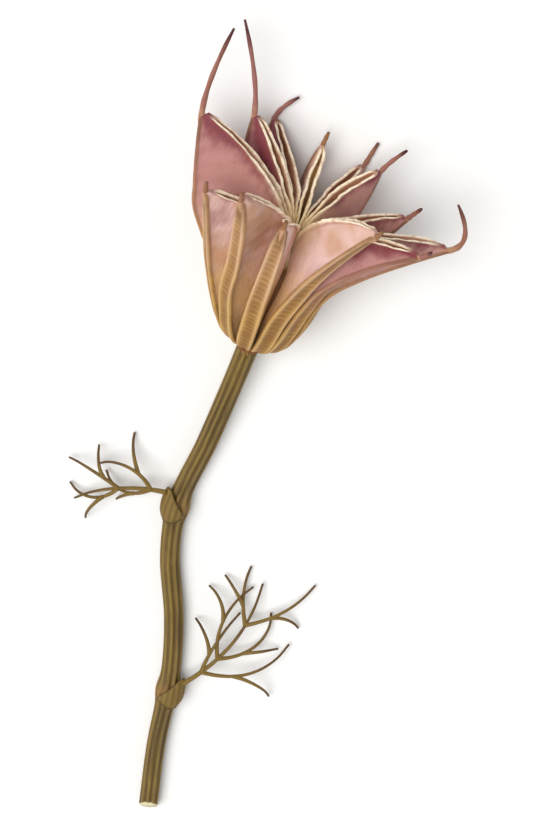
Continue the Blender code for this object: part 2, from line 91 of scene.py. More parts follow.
# Outline of a follicle in its own plane, in millimetres: distance from the axis and height.
KEEL_LOW = ((1.7, 0.12), (4.8, 0.85), (6.8, 3.3), (8.1, 7.8), (8.9, 13.0))
KEEL_RISE = (18.0, 21.8, 25.0, 27.8, 29.8, 31.2, 32.0)
INNER_EDGE = (
    (0.5, 0.7), (0.5, 3.0), (0.5, 6.5), (0.5, 10.5), (0.5, 15.0), (0.7, 19.6),
    (2.0, 23.2), (4.8, 25.5), (8.6, 27.5), (12.6, 29.4), (16.4, 31.3), (19.0, 32.6),
)
OUTLINE_HEIGHT = 32.0
OUTLINE_REACH = 20.0
CORE_TOP = 20.3
CORE = ((1.9, 0.0), (3.2, 1.1), (4.4, 5.0), (5.2, 11.5), (4.2, 16.4), (0.9, 20.0))

# Half thickness along the follicle: at the keel, the wall and the lip.
KEEL_HALF = (0.50, 1.10, 1.48, 1.60, 1.60, 1.56, 1.48, 1.40, 1.28, 1.05, 0.78, 0.48)
WALL_HALF = (0.45, 0.90, 1.10, 1.10, 1.10, 1.05, 1.02, 1.00, 0.96, 0.88, 0.70, 0.44)
LIP_HALF = (0.40, 0.60, 0.70, 0.70, 0.70, 0.74, 0.84, 0.92, 0.92, 0.86, 0.70, 0.42)
POUCH_START = 0.45
POUCH_END = 0.95
POUCH_DEPTH = 0.60
RIB_PLACE = 0.60
RIB_WIDTH = 0.20
RIB_DROP = 0.55
KEEL_ROUNDING = 0.92 * math.pi / 2

# Thickness of a lip over its wall, and how far the lips, walls and keel wander, in millimetres.
LIP_EXTRA = 0.10
CURL = 0.14
CURL_ROLLED = 0.45
LIP_CRINKLE = 0.24
WALL_SWELL = 0.18
KEEL_WANDER = 0.12

# Waves along a follicle: radians a millimetre, and the height of each.
SWAY = ((0.48, 0.7), (1.05, 0.3))
OWN_SWAY = ((1.5, 0.27), (4.4, 0.099))
EDGE_WAVES = ((0.8, 0.5), (1.7, 0.5), (5.2, 0.26))
BAR_WOBBLE = ((0.9, 0.14), (2.3, 0.07))
WAVES = 14
SEED = 70

# The stretches of a row's loop over a follicle, and the signs of its left and right side.
WALL, KEEL, RIM, POUCH = range(4)
SIGNS = (-1, 1)
FOLLICLE_ROWS = 220
WALL_COLUMNS = 15
KEEL_COLUMNS = 23
POUCH_COLUMNS = 11
RIM_COLUMNS = 4

# A beak's root inside the keel, and its half thickness from root to end: in the follicle's
# plane and across it.
AWN_SINK = 2.6
AWN_IN_PLANE = (0.34, 0.60, 0.52, 0.46, 0.42, 0.40, 0.38, 0.34, 0.22)
AWN_ACROSS = (0.30, 0.46, 0.43, 0.42, 0.40, 0.38, 0.36, 0.33, 0.22)
AWN_COLUMNS = 14

# The stem's route seen from above, in millimetres from the pod's foot.
STEM_ROUTE = (
    (0.0, 0.0), (-3.4, -9.3), (-7.3, -18.8), (-12.2, -29.6), (-13.9, -40.0),
    (-13.4, -52.0), (-14.2, -64.0), (-16.9, -77.0), (-18.6, -90.0),
)
STEM_RADIUS = 1.75
STEM_TAPER = 0.15
STEM_RIBS = 9
RIB_HEIGHT = 0.075
STEM_REST = 1.62
LANDING = 33.0
JOINTS = (33.5, 69.5)
JOINT_SWELL = 0.50
JOINT_LENGTH = 2.2
STEM_ROWS = 420
STEM_COLUMNS = 108

# A leaf's threads: radii at their roots, steps along them, room to the stem and columns. Its
# clasping foot: length, start past the joint, thickness at its stalk, reach round the stem
# and ribs.
STALK_ROOT = 0.5
THREAD_ROOT = 0.42
THREAD_STEPS = 6
THREAD_CLEAR = 1.2
THREAD_COLUMNS = 8
SHEATH_LENGTH = 4.6
FOOT_OVER = 1.5
SHEATH_THICKNESS = 0.7
SHEATH_HALF_ANGLE = math.radians(105)
SHEATH_LOW_ANGLE = math.radians(12)
SHEATH_RIBS = 18

# The leaves: node and joint, then in degrees the side that the foot faces and the stalk's
# heading, the stalk's length, its pairs of side threads, its curl in degrees, and a seed.
LEAVES = (
    ("leaf_upper", JOINTS[0], 30, 165, 17, 2, 50, 5),
    ("leaf_lower", JOINTS[1], 145, 35, 24, 3, 40, 11),
)

# The same for all materials.
NOISE_ROUGHNESS = 0.55
SPECULAR = 0.35

# Half the floor's width in metres, its faint second tone, which way the sun shines, and the
# heights, as shares of straight up, between which the background dims. The camera finds its
# place in a few steps.
FLOOR_HALF = 1.5
FLOOR_SHADE = (0.80, 0.79, 0.77)
SUN_DIRECTION = (0.42, -0.06, -1.0)
HORIZON_TOP = 0.05
ZENITH_START = 0.60
CAMERA_STEPS = 8


def colour(name, description, *shade):
    """A colour property. Its default is given as red, green and blue up to 255 on a screen."""
    values = np.array(shade) / 255
    linear = np.where(values <= 0.04045, values / 12.92, ((values + 0.055) / 1.055) ** 2.4)
    return FloatVectorProperty(name=name, description=description, subtype="COLOR", size=3,
                               min=0, max=1, default=[float(v) for v in linear])


def size(name, description, default, low, high):
    """A size in millimetres with its default and its limits."""
    return FloatProperty(name=name, description=description + ", in mm",
                         default=default, min=low, max=high)


class PodSettings(bpy.types.PropertyGroup):
    """Sizes and colours of the pod."""
    trough_depth: size("Trough depth", "Depth of the channel between a keel's ribs", 0.26, 0, 1)
    bar_pitch: size("Bar pitch", "Distance between the cross bars in a channel", 1.0, 0.5, 3)
    wall_thickness: size("Wall thickness", "Thickness of a papery wall", 0.36, 0.2, 0.8)
    lip_wave: size("Lip wave", "How far the lips sway to the side", 0.36, 0, 1)
    husk: colour("Husk", "Tan gold of the keels", 174, 132, 66)
    husk_deep: colour("Husk in patches", "Olive brown patches of the keels", 146, 106, 48)
    rib: colour("Ribs", "Pale tan of the raised ribs", 208, 168, 106)
    channel: colour("Channel", "Brown between the cross bars", 134, 92, 40)
    wall: colour("Walls", "Tan of the walls low down", 222, 184, 132)
    blush: colour("Blush", "Pinkish tan of the walls halfway up", 196, 150, 122)
    lilac: colour("Lilac", "Pale lilac pink of the clearest walls", 224, 190, 182)
    mauve: colour("Mauve", "Dusty mauve of the dry walls", 176, 124, 117)
    wine: colour("Wine", "Wine red of the dark walls", 124, 52, 60)
    lip: colour("Lips", "Cream of the rolled lips", 250, 234, 206)
    # Painted shade: a brown line under each rolled lip and in the crease where each wall meets its keel.
    seam: colour("Seams", "Brown line under each lip and beside each keel", 146, 92, 70)
    inside: colour("Inside", "Warm brown of the pouches' insides", 190, 138, 106)
    # Painted shade in the grooves between the keels and at the heart's foot; on the keels' tops this is
    # their own tired brown.
    groove: colour("Grooves", "Dark brown of the grooves between keels", 100, 64, 30)
    awn: colour("Awns", "Mauve brown of the long beaks", 142, 88, 80)
    awn_end: colour("Awn ends", "Nearly black red of the beaks' ends", 72, 24, 22)
    heart: colour("Heart", "Pale cream where the lips meet", 244, 220, 174)


class StemSettings(bpy.types.PropertyGroup):
    """Sizes and colours of the stem, the receptacle and the leaves."""
    thread_tip: size("Thread tip", "Radius at the end of a leaf thread", 0.20, 0.1, 0.5)
    straw: colour("Straw", "Olive straw of the stem's ribs", 130, 106, 46)
    olive: colour("Olive", "Olive brown between the ribs", 90, 68, 24)
    streak: colour("Streaks", "Dark brown streaks along the stem", 62, 42, 14)
    pith: colour("Pith", "Pale pith of the cut end", 226, 212, 172)
    rust: colour("Rust", "Rusty brown of the scar disc", 158, 112, 60)
    rust_dark: colour("Dark rust", "Dark brown of the disc's edge", 112, 64, 30)
    leaf: colour("Leaf", "Dry olive brown of the threads", 126, 100, 46)
    leaf_dark: colour("Leaf ends", "Darker brown of the threads' ends", 86, 58, 30)


class StageSettings(bpy.types.PropertyGroup):
    """The floor, the lights and the camera."""
    floor: colour("Floor", "Pale floor", 244, 243, 241)
    sun: FloatProperty(
        name="Sun", description="Strength of the even light from the upper left", default=2.6)
    sun_softness: FloatProperty(
        name="Sun softness", description="How wide that light is, which softens its shadow",
        default=math.radians(50), subtype="ANGLE", unit="ROTATION")
    horizon: FloatProperty(
        name="Horizon", description="Brightness of the white background", default=1.0)
    zenith: FloatProperty(
        name="Zenith", description="Brightness of the background overhead", default=0.36)
    elevation: FloatProperty(
        name="Camera elevation", description="Camera's height over the floor on the pod's side",
        default=math.radians(70.5), subtype="ANGLE", unit="ROTATION")
    lens: FloatProperty(name="Lens", description="Focal length in mm", default=105)
    margin: FloatProperty(
        name="Margin", description="Share of the frame's height that the part takes",
        default=0.955)


class Wire:
    """A number or colour on its way through a material; sums on it add Math nodes."""

    def __init__(self, finish, socket):
        self.finish = finish
        self.socket = socket

    def math(self, operation, first, second):
        return self.finish.node("ShaderNodeMath", {"operation": operation}, {0: first, 1: second})

    def __add__(self, other):
        return self.math("ADD", self, other)

    def __radd__(self, other):
        return self.math("ADD", other, self)

    def __sub__(self, other):
        return self.math("SUBTRACT", self, other)

    def __rsub__(self, other):
        return self.math("SUBTRACT", other, self)

    def __mul__(self, other):
        return self.math("MULTIPLY", self, other)

    def __rmul__(self, other):
        return self.math("MULTIPLY", other, self)

    def ramp(self, low, high):
        """0 below low, 1 above high, and a smooth rise between."""
        return self.finish.node(
            "ShaderNodeMapRange", {"interpolation_type": "SMOOTHSTEP"},
            {"Value": self, "From Min": low, "From Max": high}, "Result")


class Finish:
    """A material under construction, with one method for any node."""

    def __init__(self, name):
        self.material = bpy.data.materials.new(name)
        self.material.use_nodes = True
        self.tree = self.material.node_tree
        self.shader = self.tree.nodes["Principled BSDF"]

    def connect(self, value, socket):
        """Put a wire, a number or a colour on a socket."""
        if isinstance(value, Wire):
            self.tree.links.new(value.socket, socket)
        elif hasattr(value, "__len__"):
            missing = len(socket.default_value) - len(value)
            socket.default_value = tuple(value) + (1.0,) * missing
        else:
            socket.default_value = value

    def node(self, kind, settings=None, values=None, output=0):
        """Add a node, set it up, feed its sockets, and give back one output."""
        made = self.tree.nodes.new(kind)
        for key, value in (settings or {}).items():
            setattr(made, key, value)
        for key, value in (values or {}).items():
            self.connect(value, made.inputs[key])
        return Wire(self, made.outputs[output])

    def attribute(self, name):
        """A value that the mesh carries at each point."""
        return self.node("ShaderNodeAttribute", {"attribute_name": name}, output="Fac")

    def grain(self, stretch):
        """The mesh's own directions, along and across, stretched for a noise."""
        place = self.node("ShaderNodeAttribute", {"attribute_name": "grain"}, output="Vector")
        return self.node("ShaderNodeVectorMath", {"operation": "MULTIPLY"},
                         {0: place, 1: stretch}, "Vector")

    def noise(self, scale, detail=3.0, vector=None):
        """Smooth noise from 0 to 1, in object space unless a vector is given."""
        if vector is None:
            vector = self.node("ShaderNodeTexCoord", output="Object")
        return self.node("ShaderNodeTexNoise", None,
                         {"Vector": vector, "Scale": scale, "Detail": detail,
                          "Roughness": NOISE_ROUGHNESS}, "Fac")

    def mix(self, share, first, second):
        """A colour between two."""
        return self.node("ShaderNodeMix", {"data_type": "RGBA"},
                         {0: share, 6: first, 7: second}, 2)

    def bump(self, height, strength, distance):
        """A relief normal from a height."""
        return self.node("ShaderNodeBump", None,
                         {"Height": height, "Strength": strength, "Distance": distance}, "Normal")

    def done(self, base, roughness, normal):
        """Wire up the shader and give back the material."""
        for name, value in (("Base Color", base), ("Roughness", roughness), ("Normal", normal),
                            ("Specular IOR Level", SPECULAR)):
            self.connect(value, self.shader.inputs[name])
        return self.material


def spline(points, places):
    """Points on a Catmull-Rom curve through the given ones, at places from 0 to 1."""
    points = np.asarray(points, dtype=float)
    flat = points.ndim == 1
    if flat:
        points = points[:, None]
    last = len(points) - 1
    padded = np.vstack([2 * points[0] - points[1], points, 2 * points[-1] - points[-2]])
    along = np.clip(np.asarray(places, dtype=float), 0, 1) * last
    first = np.minimum(along.astype(int), last - 1)
    t = (along - first)[..., None]
    a, b, c, d = (padded[first + k] for k in range(4))
    found = 0.5 * (2 * b + (c - a) * t + (2 * a - 5 * b + 4 * c - d) * t ** 2
                   + (3 * b - a - 3 * c + d) * t ** 3)
    return found[..., 0] if flat else found


def smooth(low, high, value):
    """0 below low, 1 above high, and a smooth rise between, for a whole array."""
    share = np.clip((value - low) / (high - low), 0, 1)
    return share * share * (3 - 2 * share)


def window(value, rise_start, rise_end, fall_start, fall_end):
    """0, then 1, then 0 again, with smooth changes."""
    return smooth(rise_start, rise_end, value) * (1 - smooth(fall_start, fall_end, value))


def full_turn(count):
    """Angles evenly round a whole turn, as one row."""
    return np.linspace(0, 2 * math.pi, count, endpoint=False)[None, :]


def run_along(points):
    """Each point's distance from the first one, along the line through them."""
    steps = np.linalg.norm(np.diff(points, axis=0), axis=1)
    return np.concatenate([[0], np.cumsum(steps)])


def unit(vectors):
    """Vectors brought to a length of one."""
    return vectors / np.linalg.norm(vectors, axis=-1, keepdims=True)


def with_poles(grid):
    """A grid's values one after another, then the means of its first and of its last row."""
    return np.concatenate([grid.reshape(-1, *grid.shape[2:]), grid[[0, -1]].mean(axis=1)])


def skin(name, material, points, attributes, grain=None):
    """A closed surface through a grid: rows along it, columns round it, a pole at each end.

    Every row is a closed loop. Each end row is joined to one point at its middle.
    """
    rows, columns = points.shape[:2]
    corners = with_poles(points) * MM
    here = np.arange(rows * columns).reshape(rows, columns)
    ahead = np.roll(here, -1, axis=1)
    quads = np.stack([here[:-1], ahead[:-1], ahead[1:], here[1:]], axis=-1).reshape(-1, 4)
    first, last = np.full((2, columns), [[rows * columns], [rows * columns + 1]])
    fans = np.vstack([np.stack([ahead[0], here[0], first], axis=-1),
                      np.stack([here[-1], ahead[-1], last], axis=-1)])
    if signed_volume(corners, quads, fans) < 0:
        quads, fans = quads[:, ::-1], fans[:, ::-1]
    mesh = bpy.data.meshes.new(name)
    mesh.from_pydata(corners, [], quads.tolist() + fans.tolist())
    for key, value in attributes.items():
        whole = with_poles(np.broadcast_to(value, (rows, columns)))
        layer = mesh.attributes.new(key, "FLOAT", "POINT")
        layer.data.foreach_set("value", whole.astype(np.float32))
    if grain is not None:
        layer = mesh.attributes.new("grain", "FLOAT_VECTOR", "POINT")
        layer.data.foreach_set("vector", with_poles(grain).astype(np.float32).ravel())
    mesh.materials.append(material)
    mesh.shade_smooth()
    mesh.validate()
    piece = bpy.data.objects.new(name, mesh)
    bpy.context.scene.collection.objects.link(piece)
    return piece


def signed_volume(corners, quads, fans):
    """Volume inside the faces, negative when they point inwards."""
    faces = np.vstack([quads[:, :3], quads[:, [0, 2, 3]], fans])
    a, b, c = (corners[faces[:, k]] for k in range(3))
    return float(np.einsum("ij,ij->i", a, np.cross(b, c)).sum())


def join(name, pieces):
    """Several pieces with the same attributes as one piece."""
    bpy.ops.object.select_all(action="DESELECT")
    for item in pieces:
        item.select_set(True)
    bpy.context.view_layer.objects.active = pieces[0]
    bpy.ops.object.join()
    pieces[0].name = name
    pieces[0].data.name = name
    return pieces[0]


def settle(piece, node):
    """Make a piece ride on the part, and hide the solid that it stands for."""
    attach(piece, "root")
    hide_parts(node)
    return piece


def node_middle(node):
    """The mean of a solid's different points."""
    found = {tuple(round(c, 6) for c in v.co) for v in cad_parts[node].data.vertices}
    return np.mean(list(found), axis=0)


def pod_axes():
    """Right, down and axis directions of the pod, as rows."""
    axis = np.array((math.sin(POD_LEAN) * math.cos(POD_PITCH),
                     math.cos(POD_LEAN) * math.cos(POD_PITCH), math.sin(POD_PITCH)))
    right = np.array((math.cos(POD_LEAN), -math.sin(POD_LEAN), 0.0))
    return np.stack([right, np.cross(axis, right), axis])


def pod_foot():
    """The pod's foot in millimetres: the receptacle's middle, moved up the axis to the pod."""
    return node_middle("receptacle") / MM - pod_axes()[2] * np.mean(DISC_HEIGHTS)


def to_world(points):
    """Turn points of the pod into points of the part, above the floor."""
    placed = points @ pod_axes() + pod_foot()
    placed[..., 2] = np.maximum(placed[..., 2], 0.0)
    return placed


def round_the_axis(radius, height, turn):
    """Points of the part at these radii, heights and angles round the pod's axis."""
    return to_world(np.stack([radius * np.cos(turn), radius * np.sin(turn), height + 0 * turn],
                             axis=-1))


def round_grain(distance, turn, shift):
    """The grain of a slim round piece: along it, and round it at a radius of one."""
    along = distance[:, None] + 0 * turn
    return np.stack([along, np.cos(turn) + 0 * along, np.sin(turn) + shift + 0 * along], axis=-1)


class Follicle:
    """One follicle of the pod, as curves in its own plane and a place round the axis."""

    def __init__(self, number):
        (azimuth, self.reach, self.height, self.flare, self.crown,
         self.awn, self.awn_out, self.awn_side, self.wine) = FOLLICLES[number]
        self.number = number
        uneven = ROOT_UNEVENNESS * math.sin(number ** 2)
        self.root_turn = math.radians(ROOT_AZIMUTH + 360 * number / len(FOLLICLES) + uneven)
        self.swing = (math.radians(azimuth) - self.root_turn + math.pi) % math.tau - math.pi
        facing = 0.5 + 0.5 * math.cos(math.radians(azimuth - BELLY_AZIMUTH))
        self.belly = BELLY * facing ** 2
        others = (FOLLICLES[(number + step) % len(FOLLICLES)][0] for step in (-1, 1))
        gaps = [abs((other - azimuth + 180) % 360 - 180) for other in others]
        self.half_gap = math.radians(min(min(gaps), 360 / len(FOLLICLES))) / 2
        self.rolled = max(0.0, 1 - self.awn / 4)

    def keel(self, places):
        """The outer edge: the low bulge, then out to this follicle's own tip."""
        low = np.array(KEEL_LOW)
        low[:, 0] *= 1 + self.belly * low[:, 1] / low[-1, 1]
        start_reach, start_height = low[-1]
        rise = np.array(KEEL_RISE) * self.height / OUTLINE_HEIGHT
        share = (rise - start_height) / (self.height - start_height)
        out = start_reach + (self.reach - start_reach) * share ** self.flare
        return spline(np.vstack([low, np.column_stack([out, rise])]), places)

    def inner(self, places):
        """The inner edge: up the axis, then along the top edge, which is stretched to the tip."""
        out, rise = np.array(INNER_EDGE).T
        high = rise > CORE_TOP
        across = out / OUTLINE_REACH
        arch = self.crown * 4 * across * (1 - across)
        stretch = (self.height - CORE_TOP) / (OUTLINE_HEIGHT - CORE_TOP)
        rise = np.where(high, CORE_TOP + (rise + arch - CORE_TOP) * stretch, rise)
        out = np.where(high, out * self.reach / OUTLINE_REACH, out)
        return spline(np.column_stack([out, rise]), places)

    def place(self, out, rise, side):
        """Points of the follicle's plane, turned to its azimuth, which swings as it rises."""
        turn = self.root_turn + self.swing * smooth(TURN_START, TURN_END, rise)
        cos, sin = np.cos(turn), np.sin(turn)
        return np.stack([out * cos - side * sin, -out * sin - side * cos, rise + 0 * side], axis=-1)

    def across(self):
        """The sideways direction at the tip, in the part's own directions."""
        turn = self.root_turn + self.swing
        return np.array((-math.sin(turn), -math.cos(turn), 0.0)) @ pod_axes()


class FollicleSkin:
    """The folded pouch as one closed surface.

    Rows run from foot to tip. Each row is a loop: up the left wall, over the ribbed keel, down
    the right wall, round the right lip, and back along the inside of the pouch to the left lip.
    A point is the inner edge plus a share t of the way to the keel, set off sideways by w. Side
    0 is the left wall and side 1 the right one. Every method works on all rows at once.
    """

    def __init__(self, follicle, settings):
        self.follicle, self.settings = follicle, settings
        places = np.linspace(0, 1, FOLLICLE_ROWS)
        self.v = places[:, None]
        self.keel, self.inner = follicle.keel(places), follicle.inner(places)
        self.span = np.linalg.norm(self.keel - self.inner, axis=1)[:, None]
        self.length = run_along(self.keel)[:, None]
        self.half_keel, self.half_wall, half_lip = (spline(row, places)[:, None]
                                                    for row in (KEEL_HALF, WALL_HALF, LIP_HALF))
        self.half_lip = half_lip * (0.62 + 0.38 * min(1.0, 2 * follicle.wine))
        draw = np.random.default_rng(SEED + follicle.number)
        self.phase = draw.uniform(0, 2 * math.pi, WAVES)
        self.free = window(self.v, POUCH_START - 0.03, POUCH_START + 0.12, 0.93, 1.0)
        self.calm = min(1.0, follicle.reach / 17.0) ** 2

    def wave(self, rate, number, shift=0.0):
        """A sine of the length, with one of the follicle's own phases."""
        return np.sin(rate * self.length + shift + self.phase[number])

    def waves(self, table, *numbers):
        """A sum of such sines."""
        return sum(height * self.wave(rate, number)
                   for (rate, height), number in zip(table, numbers))

    def reach(self, t):
        """Distance from the axis."""
        return self.inner[:, :1] + (self.keel - self.inner)[:, :1] * t

    def half_width(self, t):
        """Lip, wall and keel half widths in turn over t, and near the axis the room there is."""
        lip = 1 - smooth(0.0, 0.34, t)
        rib = smooth(0.84, 0.99, t)
        crimp = 1 + 0.4 * self.wave(3.1, 13) * self.wave(1.3, 4)
        curl = (CURL + CURL_ROLLED * self.follicle.rolled) * crimp * np.exp(-(t / 0.06) ** 2)
        full = ((self.half_lip + curl * self.free) * lip + self.half_wall * (1 - lip - rib)
                + self.half_keel * 0.88 * rib)
        room = 0.15 + 0.97 * np.tan(self.follicle.half_gap) * np.maximum(self.reach(t), 0)
        return np.where(t < 0.8, np.minimum(full, room + 4 * smooth(0.5, 0.8, t)), full)

    def sideways(self, t, side):
        """Sway of the lips, the same way on both sides and a little its own, and wall swells."""
        near = 1 - smooth(0.0, 0.42, t)
        sway = self.waves(SWAY, 0, 1) + SIGNS[side] * self.waves(OWN_SWAY, 2 + side, 4 + side)
        apart = smooth(1.5, 7.0, self.reach(t))
        swell = (self.wave(0.35, 6 + side, 4.0 * t)
                 + 0.42 * self.wave(1.9, 12 + side, 9.0 * t) * self.wave(0.7, 6 + side))
        return (self.settings.lip_wave * self.calm * sway * near * self.free * apart
                + WALL_SWELL * swell * (1 - near) * window(self.v, 0.3, 0.6, 0.9, 1.0))

    def edge_rise(self, t, side):
        """How far the lip's edge waves up and down, as a share of the span."""
        near = 1 - smooth(0.0, 0.20, t)
        wave = self.waves(EDGE_WAVES, 8, 9 + side, 12 + side)
        return -LIP_CRINKLE * self.calm * wave * near * self.free / np.maximum(self.span, 2)

    def wall(self, side, shares):
        """The outer face, from the lip to the keel's outer rib."""
        t = shares * (1 - RIB_DROP * 1.5 / np.maximum(self.span, 2.2))
        w = SIGNS[side] * self.half_width(t) + self.sideways(t, side)
        return t + self.edge_rise(t, side), w

    def pouch(self, side, along):
        """The inner face, from the lip to the bottom of the pouch, where the two faces meet."""
        opened = window(self.v, POUCH_START, POUCH_START + 0.08, POUCH_END - 0.06, POUCH_END + 0.03)
        t = 0.015 + POUCH_DEPTH * opened * along
        thick = self.settings.wall_thickness + LIP_EXTRA * np.exp(-(t / 0.1) ** 2)
        room = np.maximum(self.half_width(t) - thick, 0.07)
        round_end = np.sqrt(np.clip(1.0005 - along ** 4, 0, 1))
        w = SIGNS[side] * room * round_end + self.sideways(t, side)
        return t + self.edge_rise(t, side), w

    def rim(self, side, angle):
        """The lip's edge: a half circle between the two faces."""
        t_out, w_out = self.wall(side, np.zeros((1, 1)))
        t_in, w_in = self.pouch(side, np.zeros((1, 1)))
        middle, radius = (w_out + w_in) / 2, (w_out - w_in) / 2
        lift = np.abs(radius) / np.maximum(self.span, 2) * np.sin(angle)
        return (t_out + t_in) / 2 - lift, middle + radius * np.cos(angle)

    def keel_band(self):
        """The keel: a cosine trough between two ribs, with cross bars that stand up in it.

        Gives its t and w, how much of each point is rib, and how much is bare trough.
        """
        c = np.linspace(-1, 1, KEEL_COLUMNS)[None, :]
        pitch = self.length / self.settings.bar_pitch + self.waves(BAR_WOBBLE, 9, 8)
        bars = 0.5 + 0.5 * np.cos(2 * math.pi * pitch - 0.5 * (1 - c ** 2) + self.phase[10])
        bars = bars ** 2.2 * (0.72 + 0.28 * self.wave(1.7, 5)) * window(self.v, 0.03, 0.10, 0.86, 0.95)
        trough = 0.5 + 0.5 * np.cos(math.pi * np.clip(np.abs(c) / RIB_PLACE, 0, 1))
        depth = self.settings.trough_depth * trough ** 0.8 * (1 - 0.55 * bars)
        depth = depth * smooth(0.0, 0.08, self.v) * (1 - 0.6 * smooth(0.85, 1.0, self.v))
        outer = np.clip((np.abs(c) - RIB_PLACE) / (1 - RIB_PLACE), 0, 1)
        t = 1 - (depth + RIB_DROP * outer ** 2) / np.maximum(self.span, 2.2)
        wander = KEEL_WANDER * self.wave(0.3, 11) * (1 - np.abs(c))
        w = self.half_keel * np.sin(c * KEEL_ROUNDING) / math.sin(KEEL_ROUNDING) + wander
        rib = np.exp(-((np.abs(c) - RIB_PLACE) / RIB_WIDTH) ** 2)
        return (t, w), rib, trough ** 0.7 * (1 - bars)

    def surface(self):
        """The whole loop's points, and the attributes and grain that its material reads."""
        rise = 0.5 - 0.5 * np.cos(np.linspace(0, math.pi, WALL_COLUMNS))[None, :]
        angles = np.linspace(0, math.pi, RIM_COLUMNS + 2)[None, 1:-1]
        along = np.linspace(0, 1, POUCH_COLUMNS)[None, :]
        band, rib, trough = self.keel_band()
        parts = ((WALL, self.wall(0, rise)), (KEEL, band), (WALL, self.wall(1, rise[:, ::-1])),
                 (RIM, self.rim(1, angles)), (POUCH, self.pouch(1, along)),
                 (POUCH, self.pouch(0, along[:, ::-1])), (RIM, self.rim(0, angles[:, ::-1])))
        t = np.hstack([np.broadcast_to(t, w.shape) for _, (t, w) in parts])
        w = np.hstack([w for _, (t, w) in parts])
        zone = np.repeat([kind for kind, _ in parts], [w.shape[1] for _, (t, w) in parts])[None, :]
        flat = self.inner[:, None, :] + (self.keel - self.inner)[:, None, :] * t[..., None]
        points = to_world(self.follicle.place(flat[..., 0], flat[..., 1], w))
        on_keel, on_wall = 1.0 * (zone == KEEL), 1.0 * (zone == WALL)
        attributes = {
            "keel": on_keel, "rib": np.zeros(t.shape), "channel": np.zeros(t.shape),
            "inside": 1.0 * (zone == POUCH), "along": self.v, "across": t,
            "wine": self.follicle.wine, "lip": self.lip_share(t, zone) * self.free,
            "centre": (1 - smooth(1.5, 6.0, flat[..., 0])) * self.free,
            # Painted shade: dark brown on the walls low down, where they sink between the neighbouring
            # follicles.
            "groove": on_wall * (1 - smooth(2.5, 11.0, flat[..., 1])) * (1 - 0.5 * t),
            # Painted shade: a thin line under the rolled lip where the pouch is open, and a band in the
            # crease beside the keel.
            "seam": on_wall * (np.exp(-((t - 0.085) / 0.028) ** 2) * self.free
                               + 0.7 * smooth(0.90, 0.985, t)),
        }
        attributes["rib"][:, zone[0] == KEEL] = rib
        attributes["channel"][:, zone[0] == KEEL] = trough
        depth = (1 - t) * self.span * (1 - on_keel) - 2.0 * w * on_keel
        sheet = self.follicle.number * 9.0 + 2.0 * np.sign(w) * on_wall
        grain = np.stack([self.length + 0.8 * depth,
                          depth - 0.5 * (1 - on_keel) * self.length, sheet], axis=-1)
        return points, attributes, grain

    def lip_share(self, t, zone):
        """1 on the lip's edge and 0 on the keel; elsewhere a narrow band next to the edge."""
        band = 1 - smooth(0.0, 0.055 + 0.08 * self.follicle.rolled, t)
        return np.where(zone == RIM, 1.0, np.where(zone == KEEL, 0.0, band))


def tube(path, radii, columns, level=(0.13, 0.07, 1.0)):
    """Rings carried along a path, square to it, with a first direction square to a given one.

    Radii are one number a ring, or a pair of them: along the first direction and across it.
    """
    ahead = unit(np.gradient(path, axis=0))
    across = unit(np.cross(ahead, level))
    up = np.cross(across, ahead)
    turn = full_turn(columns).T
    wide, high = np.broadcast_to(np.transpose(radii), (2, len(path)))[..., None, None]
    return path[:, None] + across[:, None] * np.cos(turn) * wide + up[:, None] * np.sin(turn) * high


def awn_path(follicle):
    """The beak's middle line: along the keel's end, then a curve that bends to its lean.

    The curve is a parabola through three points: root times (1 - q) squared, bend times
    2 q (1 - q) and end times q squared.
    """
    before, tip = follicle.keel(np.array([0.97, 1.0]))
    heading = unit(tip - before)
    inwards = np.array((-heading[1], heading[0])) * 0.55

    def at(point, side=0.0):
        return follicle.place(*(np.array([c]) for c in (*point, side)))[0]

    start, root = at(tip - heading * AWN_SINK + inwards), at(tip + inwards * 0.5)
    run = unit(at(tip) - at(tip - heading * AWN_SINK))
    lean = at((follicle.awn_out, tip[1]), follicle.awn_side) - at((0.0, tip[1]))
    bend = root + run * follicle.awn * 0.34
    end = bend + unit(lean + (0, 0, 1)) * follicle.awn * 0.68
    q = np.linspace(0, 1, 44)[:, None]
    curve = root * (1 - q) ** 2 + bend * 2 * q * (1 - q) + end * q ** 2
    sink = start + (root - start) * np.linspace(0, 1, 9)[:-1, None]
    return np.vstack([sink, curve])


class StemLine:
    """The stem's route, radius and directions, all as arrays over distance from its top."""

    def __init__(self):
        start = pod_foot() + pod_axes()[2] * STEM_TOP
        flat = spline(STEM_ROUTE, np.linspace(0, 1, 200)) + start[:2]
        fall = np.clip(1 - run_along(flat) / LANDING, 0, 1) ** 2
        self.path = np.column_stack([flat, STEM_REST + (start[2] - STEM_REST) * fall])
        self.along = run_along(self.path)
        self.length = float(self.along[-1])

    def point(self, distance):
        """The middle of the stem at these distances."""
        distance = np.atleast_1d(distance)
        return np.column_stack([np.interp(distance, self.along, self.path[:, k]) for k in range(3)])

    def directions(self, distance):
        """Heading, level side and upward directions at these distances."""
        distance = np.atleast_1d(distance)
        ahead = unit(self.point(np.minimum(distance + 1, self.length))
                     - self.point(np.maximum(distance - 1, 0)))
        side = unit(np.cross(ahead, (0, 0, 1.0)))
        return ahead, side, np.cross(side, ahead)

    def radius(self, distance):
        """A slight taper, thickened at the joints."""
        distance = np.atleast_1d(distance)
        swell = sum(np.exp(-((distance - joint) / JOINT_LENGTH) ** 2) for joint in JOINTS)
        return STEM_RADIUS - STEM_TAPER * distance / self.length + JOINT_SWELL * swell

    def push_clear(self, points, room):
        """Move points straight away from the stem until they have this much room to it."""
        gaps = np.linalg.norm(points[:, None] - self.path[None], axis=2)
        nearest = gaps.argmin(axis=1)
        gap = gaps.min(axis=1)
        reach = self.radius(self.along[nearest]) * (1 + RIB_HEIGHT) + room
        middle = self.path[nearest]
        return middle + (points - middle) * (np.maximum(gap, reach) / gap)[:, None]


